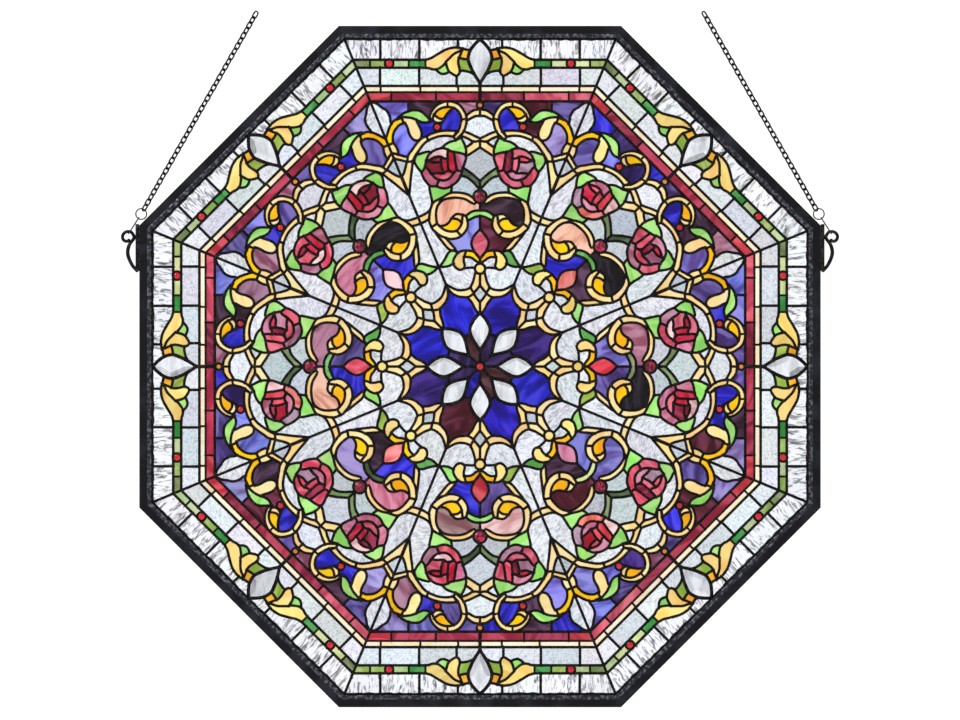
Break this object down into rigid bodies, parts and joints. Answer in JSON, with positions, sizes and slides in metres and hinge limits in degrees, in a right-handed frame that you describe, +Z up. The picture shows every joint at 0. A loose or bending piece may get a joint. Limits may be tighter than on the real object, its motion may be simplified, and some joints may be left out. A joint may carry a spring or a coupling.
{
  "type": "hanging stained glass window",
  "caption": "Octagonal leaded window of coloured and clear textured glass in a dark metal channel frame, hung by a chain from a scroll bracket at each side",
  "frame": {"origin": "midway between the inner tops of the two chains' end links, which is where the window hangs", "axes": "+Z up, +X to the viewer's right, and the front of the window faces -Y"},
  "size_m": [1.0504, 0.01, 1.023],
  "materials": {
    "frame_black": "dark patina, satin",
    "solder": "black patina over solder, satin with brighter crests",
    "clear_glass": "hammered and rippled clear, bevelled where cut",
    "cream_glass": "opalescent cream",
    "red_glass": "streaky rose red",
    "field_glass": "streaky opalescent blues, violets, greens and ambers",
    "blue_glass": "streaky royal blue",
    "ruby_glass": "polished ruby",
    "dark_bronze": "dark bronze, satin"
  },
  "bodies": {
    "root": {"frame_top": "frame_black", "frame_top_right": "frame_black", "frame_right": "frame_black", "frame_bottom_right": "frame_black", "frame_bottom": "frame_black", "frame_bottom_left": "frame_black", "frame_left": "frame_black", "frame_top_left": "frame_black", "leading_front": "solder", "leading_back": "solder", "border_glass": "clear_glass", "cream_band_glass": "cream_glass", "red_band_glass": "red_glass", "field_glass": "field_glass", "star_glass": "blue_glass", "border_diamond_1": "clear_glass", "border_diamond_2": "clear_glass", "border_diamond_3": "clear_glass", "border_diamond_4": "clear_glass", "border_diamond_5": "clear_glass", "border_diamond_6": "clear_glass", "border_diamond_7": "clear_glass", "border_diamond_8": "clear_glass", "star_lozenge_1": "clear_glass", "star_lozenge_2": "clear_glass", "star_lozenge_3": "clear_glass", "star_lozenge_4": "clear_glass", "star_lozenge_5": "clear_glass", "star_lozenge_6": "clear_glass", "star_lozenge_7": "clear_glass", "star_lozenge_8": "clear_glass", "ruby_jewel_1": "ruby_glass", "ruby_jewel_2": "ruby_glass", "ruby_jewel_3": "ruby_glass", "ruby_jewel_4": "ruby_glass", "ruby_jewel_5": "ruby_glass", "ruby_jewel_6": "ruby_glass", "ruby_jewel_7": "ruby_glass", "ruby_jewel_8": "ruby_glass", "centre_jewel": "ruby_glass", "hook_right": "dark_bronze", "ring_right": "dark_bronze", "wire_loop_right": "dark_bronze", "chain_right": "dark_bronze", "hook_left": "dark_bronze", "ring_left": "dark_bronze", "wire_loop_left": "dark_bronze", "chain_left": "dark_bronze"}
  },
  "joints": []
}
